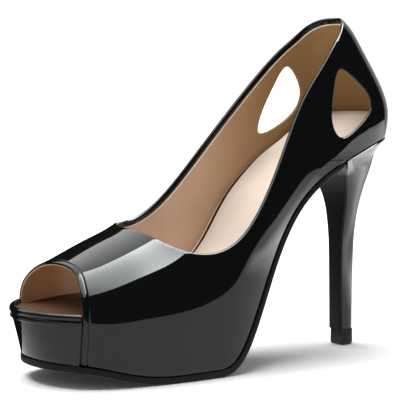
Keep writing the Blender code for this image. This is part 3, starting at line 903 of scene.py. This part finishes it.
column_marks = np.full(columns - 1, SOCK_MARK)
turn_columns = len(TURN_SHARES) - 1
column_marks[:turn_columns] = LINING_MARK
column_marks[turn_columns:turn_columns + len(LINE_SHARES)] = GAP_SHADOW_MARK
column_marks[-2:] = GAP_SHADOW_MARK
sock_marks = np.concatenate([
    np.tile(column_marks, rows_along - 1),
    np.full(len(top_quads) + len(side_quads), GAP_SHADOW_MARK),
])
# Pale sock leather; its front, inside the toe, is painted near black as shade.
sock_leather_painted_toe_shade = leather_lining("sock_leather_painted_toe_shade", [
    (-0.10, (0.045, 0.023, 0.013)),
    (-0.055, (0.045, 0.023, 0.013)),
    (-0.035, (0.62, 0.51, 0.43)),
    (0.0, (0.69, 0.60, 0.53)),
    (0.1, (0.69, 0.60, 0.53)),
], 0.5)
# Near black painted shadow: the gap lines on the sock's top, and the sock's sides and underside.
painted_gap_shadow = leather_lining("painted_gap_shadow", [(-0.1, (0.012, 0.008, 0.006)), (0.1, (0.012, 0.008, 0.006))])


def weld_and_orient(made):
    """Merges doubled points and turns the faces outward; the mesh is closed."""
    shape = bmesh.new()
    shape.from_mesh(made.data)
    bmesh.ops.remove_doubles(shape, verts=shape.verts, dist=1e-6)
    bmesh.ops.dissolve_degenerate(shape, edges=shape.edges, dist=1e-7)
    bmesh.ops.recalc_face_normals(shape, faces=shape.faces)
    if shape.calc_volume(signed=True) < 0:
        bmesh.ops.reverse_faces(shape, faces=shape.faces)
    shape.to_mesh(made.data)
    shape.free()


sock = make_piece(
    "sock", np.concatenate([top_face.reshape(-1, 3), under_face.reshape(-1, 3)]), sock_faces.tolist(),
    [sock_leather_painted_toe_shade, tan_lining_painted_light_and_shade, painted_gap_shadow], sock_marks,
)
weld_and_orient(sock)
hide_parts("insole")

# The toe lip is a roll of patent over the platform's front edge; a thinner roll, the folded top of the
# covered toe panel, lies below it, and the panel runs from there down to the sole.
LIP_TURNS = np.sin(np.linspace(-1, 1, 81) * np.pi / 2)


def tube_solid(name, section, material, sharp=50.0):
    """Closed solid through a row of closed sections: quads between neighbours and a face over each end."""
    rows, sides = section.shape[:2]
    faces = quad_grid(rows, sides, round_across=True).tolist()
    faces.append(list(range(sides)))
    faces.append(list(range((rows - 1) * sides, rows * sides)))
    made = make_piece(name, section.reshape(-1, 3), faces, [material], sharp=sharp)
    weld_and_orient(made)
    return made


def toe_roll(name, material, grow, lift, out_radius, up_radius):
    """Round roll along the toe's top outline: a closed ellipse section carried round the toe."""
    x, s = toe_outline(TOE_TOP, grow, LIP_TURNS)
    centre = np.column_stack([x, s, insole_bottom(s) + lift])
    along = np.gradient(centre, axis=0)
    along /= np.linalg.norm(along, axis=1, keepdims=True)
    out = np.column_stack([-along[:, 1], along[:, 0], np.zeros(len(x))])
    out /= np.linalg.norm(out, axis=1, keepdims=True)
    out *= np.sign(out[len(x) // 2, 1])
    angles = np.linspace(0, 2 * np.pi, 21)[:-1]
    section = centre[:, None] + out[:, None] * (out_radius * np.cos(angles))[None, :, None]
    section[..., 2] += up_radius * np.sin(angles)
    return tube_solid(name, section, material)


patent_trim = patent("patent_trim", roughness=0.06)
lip = toe_roll("toe_lip_roll", patent_trim, grow=-0.5, lift=1.75, out_radius=1.5, up_radius=1.6)
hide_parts("toe_lip")
band = toe_roll("toe_band", patent_trim, grow=-0.15, lift=-1.35, out_radius=0.8, up_radius=0.75)


def toe_floor(s):
    """Height of the toe block's underside: it rises a little to the tip."""
    rise = np.clip((s - WALL_S[SEAM_ROW]) / TOE_BOTTOM["reach"], 0, 1)
    return TOE_BOTTOM_Z + (TOE_BOTTOM_TIP_Z - TOE_BOTTOM_Z) * rise


def ring_solid(name, rings, material, sharp=50.0):
    """Closed solid between rings that run from one side to the other; each ring is closed by its chord."""
    sides = len(rings[0])
    faces = quad_grid(len(rings), sides, round_across=True).tolist()
    for first in (0, (len(rings) - 1) * sides):
        for k in range(sides // 2):
            corners = (first + k, first + k + 1, first + sides - 2 - k, first + sides - 1 - k)
            if len(set(corners)) > 2:
                faces.append(corners)
    made = make_piece(name, np.concatenate(rings), faces, [material], sharp=sharp)
    weld_and_orient(made)
    return made


PANEL_PROUD = 0.05
PANEL_HEM = [
    # share of the way up, growth past the toe's outline
    (0.0, -1.2), (0.0, -0.45), (0.02, -0.1), (0.06, PANEL_PROUD),
]
panel_turns = np.sin(np.linspace(-1, 1, 73) * np.pi / 2)
panel_rings = []
for share, grow in PANEL_HEM + [(share, PANEL_PROUD) for share in np.linspace(0.1, 0.97, 26)]:
    shape = {key: TOE_BOTTOM[key] + share * (TOE_TOP[key] - TOE_BOTTOM[key]) for key in TOE_TOP}
    x, s = toe_outline(shape, grow, panel_turns)
    low = toe_floor(s)
    panel_rings.append(np.column_stack([x, s, low + share * (insole_bottom(s) - GAP - low)]))
panel = ring_solid("toe_panel", panel_rings, patent("patent_panel"))

# The outsole is one thin black sole: flat under the ball, sprung at the toe, up the waist and, as a flap,
# down the front of the heel. Its edge is inked and polished and stands out a little past the upper.
SOLE_THICK = 3.0
WAIST_THICK = 2.2
WAIST_FROM_TO = (60, 110)
FLAP_THICK = 1.4
SOLE_EDGE_OUT = 0.6
SOLE_TOE_OUT = 0.3
SEAT_FRONT_S = 37.0
FLAP_IN = 1.0
FLAP_FORWARD = 0.8
FLAP_DROP = 1.2
SOLE_RUNS = [
    # from s, to s, step
    (184, 112, 4.0), (112, 82, 3.0), (82, 40, 4.0),
]
SOLE_SECTION = [
    # in from the edge, share of the thickness
    (0.0, 0.0), (-0.08, 0.2), (0.0, 0.72), (0.14, 0.88), (0.34, 0.97), (0.7, 1.0),
]
HEEL = np.array([
    # front z, back z, half width, front s, back s
    (92.0, 102.5, 20.5, 32.0, 1.3),
    (88.5, 97.5, 15.4, 28.5, 2.0),
    (84.0, 91.0, 12.0, 25.3, 2.9),
    (79.0, 83.5, 9.8, 23.3, 5.8),
    (72.0, 74.0, 7.8, 22.1, 9.0),
    (62.7, 63.5, 5.8, 22.0, 11.0),
    (52.0, 52.0, 4.6, 22.0, 12.0),
    (30.0, 30.0, 4.1, 22.0, 12.5),
    (8.0, 8.0, 4.3, 21.5, 12.7),
])
stations = []
for turn in np.sin(np.linspace(0, 1, 16)[1:] * np.pi / 2):
    half = TOE_BOTTOM["half"] + SOLE_TOE_OUT
    s = WALL_S[SEAM_ROW] + GAP + (TOE_BOTTOM["reach"] + SOLE_TOE_OUT) * (1 - turn ** TOE_POWER)
    side = (TOE_BOTTOM["centre"] - half * turn, TOE_BOTTOM["centre"] + half * turn)
    stations.append((*side, s, toe_floor(s) - GAP, SOLE_THICK))
for s in np.concatenate([np.arange(start, stop, -step) for start, stop, step in SOLE_RUNS]):
    outer = wall(girth_at(s), 0.0)
    inner = wall(-girth_at(s), 0.0)
    thick = np.interp(s, WAIST_FROM_TO, (WAIST_THICK, SOLE_THICK))
    middle = (outer[1] + inner[1]) / 2
    stations.append((inner[0] - SOLE_EDGE_OUT, outer[0] + SOLE_EDGE_OUT, middle, outer[2] - GAP, thick))
corner = wall(girth_at(SEAT_FRONT_S), 0.0)
flap_half = corner[0] - FLAP_IN
stations.append((-flap_half, flap_half, corner[1] + FLAP_FORWARD, corner[2] - FLAP_DROP, WAIST_THICK))
for front_z, _, half, front_s, _ in HEEL:
    stations.append((-half, half, front_s + GAP, front_z, FLAP_THICK))


def cut_corners(rows, times):
    """Chaikin's curve: each step puts two points on every length and keeps the ends."""
    rows = np.asarray(rows, float)
    for _ in range(times):
        near = 0.75 * rows[:-1] + 0.25 * rows[1:]
        far = 0.25 * rows[:-1] + 0.75 * rows[1:]
        between = np.stack([near, far], 1).reshape(-1, *rows.shape[1:])
        rows = np.concatenate([rows[:1], between, rows[-1:]])
    return rows


# The sole's section is laid square to the line that its top runs along, and never reaches below the floor.
inner_x, outer_x, sole_s, sole_z, thick = cut_corners(stations, 2).T
line = np.column_stack([sole_s, sole_z])
tangent = np.gradient(line, axis=0)
tangent /= np.linalg.norm(tangent, axis=1, keepdims=True)
below = np.column_stack([tangent[:, 1], -tangent[:, 0]])
below *= -np.sign(below[len(below) // 3, 1])
section = []
for way in (1, -1):
    for step, share in SOLE_SECTION[::way]:
        spot = line + below * (thick * share)[:, None]
        spot[:, 1] = np.maximum(spot[:, 1], 0.0)
        narrow = np.minimum(step, (outer_x - inner_x) / 4)
        x = outer_x - narrow if way > 0 else inner_x + narrow
        section.append(np.column_stack([x, spot]))


def sole_rubber(name, tint):
    """Black sole: a satin skin with fine random pebbling."""
    made, tree, shader, place = begin_material(name, roughness=0.5)
    shader.inputs["Base Color"].default_value = (*tint, 1)
    shader.inputs["Specular IOR Level"].default_value = 0.12
    relief(tree, shader, noise(tree, place, scale=900.0, detail=2.0), strength=0.3, depth=0.0002)
    return made


rubber = sole_rubber("sole_rubber", (0.0060, 0.0058, 0.0048))
sole = tube_solid("sole", np.stack(section, 1), rubber, sharp=40.0)
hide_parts("outsole")

# The heel is a moulded block wrapped in the same patent. Its seat follows the upper's bottom edge and it
# narrows to a slim stem, flat in front under the sole's flap and round behind.
HEEL_TURNS = np.linspace(0, np.pi, 65)
HEEL_ROUND = 0.85
SEAT_INNER_V = 0.3
SEAT_DEPTH = 4.0
SEAT_OUT = 0.2
SEAT_ROLL = 0.5
ROLL_SHARE = 0.7
ROLL_LIFT = 0.12
seat_t = girth_at(SEAT_FRONT_S) * np.linspace(1, -1, 65)
seat = wall(seat_t, 0.0)
outward = seat - wall_inside(seat_t, SEAT_INNER_V, np.full(seat_t.shape, SEAT_DEPTH))
outward[:, 2] = 0
outward /= np.linalg.norm(outward, axis=1, keepdims=True)


def heel_section(front_z, back_z, half, front_s, back_s):
    """D-shaped section, straight across the front and round at the back: a power of the sine and cosine."""
    x = half * np.sign(np.cos(HEEL_TURNS)) * np.abs(np.cos(HEEL_TURNS)) ** HEEL_ROUND
    back = np.abs(np.sin(HEEL_TURNS)) ** HEEL_ROUND
    return np.column_stack([x, front_s + (back_s - front_s) * back, front_z + (back_z - front_z) * back])


up = np.array([0, 0, 1.0])
edge_ring = seat + outward * (SEAT_OUT - SEAT_ROLL) - GAP * up
full_ring = seat + outward * SEAT_OUT - (GAP + SEAT_ROLL) * up
roll_ring = edge_ring * (1 - ROLL_SHARE) + full_ring * ROLL_SHARE + ROLL_LIFT * up
heel_rings = cut_corners([full_ring] + [heel_section(*row) for row in HEEL], 3)
heel = ring_solid("heel_cover", [edge_ring, roll_ring, *heel_rings], patent("patent_heel"), sharp=40.0)
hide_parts("heel")

# The top-lift is a small block of hard rubber pinned under the heel. It is cut to the heel's outline and
# its two rims are a little rounded.
TOP_LIFT = [
    # front z, back z, half width, front s, back s
    (7.7, 7.7, 4.4, 21.6, 12.6),
    (7.4, 7.4, 4.62, 21.7, 12.4),
    (0.5, 0.5, 4.75, 21.6, 12.4),
    (0.0, 0.0, 4.45, 21.3, 12.7),
]
lift_rubber = sole_rubber("lift_rubber", (0.012, 0.012, 0.012))
tip = ring_solid("top_lift", [heel_section(*row) for row in TOP_LIFT], lift_rubber)
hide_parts("heel_tip")
